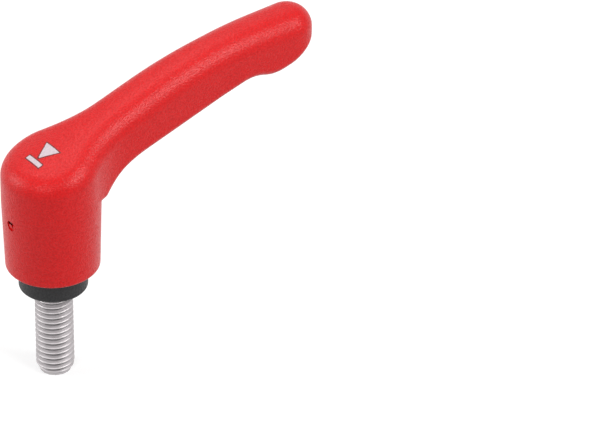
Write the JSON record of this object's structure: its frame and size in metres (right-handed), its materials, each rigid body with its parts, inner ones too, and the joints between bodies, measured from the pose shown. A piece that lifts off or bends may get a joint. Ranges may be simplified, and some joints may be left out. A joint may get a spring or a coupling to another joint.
{
  "type": "adjustable clamping lever",
  "caption": "Clamping lever with a hollow plastic handle over a toothed insert and a threaded stud; a spring keeps the handle free until it is pushed down.",
  "frame": {"origin": "on the stud's axis in the clamping face, the underside of the steel flange", "axes": "+Z along the stud's axis up to the closed top of the hub, +X along the arm"},
  "size_m": [0.0752, 0.0204, 0.0653],
  "materials": {
    "handle_plastic": "fine spark-eroded grain, traffic red, glass-filled",
    "insert_plastic": "matt black, moulded round the stud",
    "steel": "bright turned and rolled thread",
    "spring_steel": "plain bright"
  },
  "bodies": {
    "stud": {"threaded_stud": "steel", "toothed_insert": "insert_plastic", "compression_spring": "spring_steel"},
    "slider": {"thrust_washer": "spring_steel"},
    "lever": {"handle": "handle_plastic", "retaining_ring": "spring_steel"}
  },
  "joints": [
    {"name": "press", "type": "slide", "parent": "stud", "child": "slider", "axis": [0, 0, -1], "range_m": [0, 0.004], "stiffness_N_per_m": 2000, "springref_m": -0.003, "deforming": ["compression_spring"]},
    {"name": "turn", "type": "hinge", "parent": "slider", "child": "lever", "pos_m": [0, 0, 0.03], "axis": [0, 0, 1], "continuous": true}
  ]
}
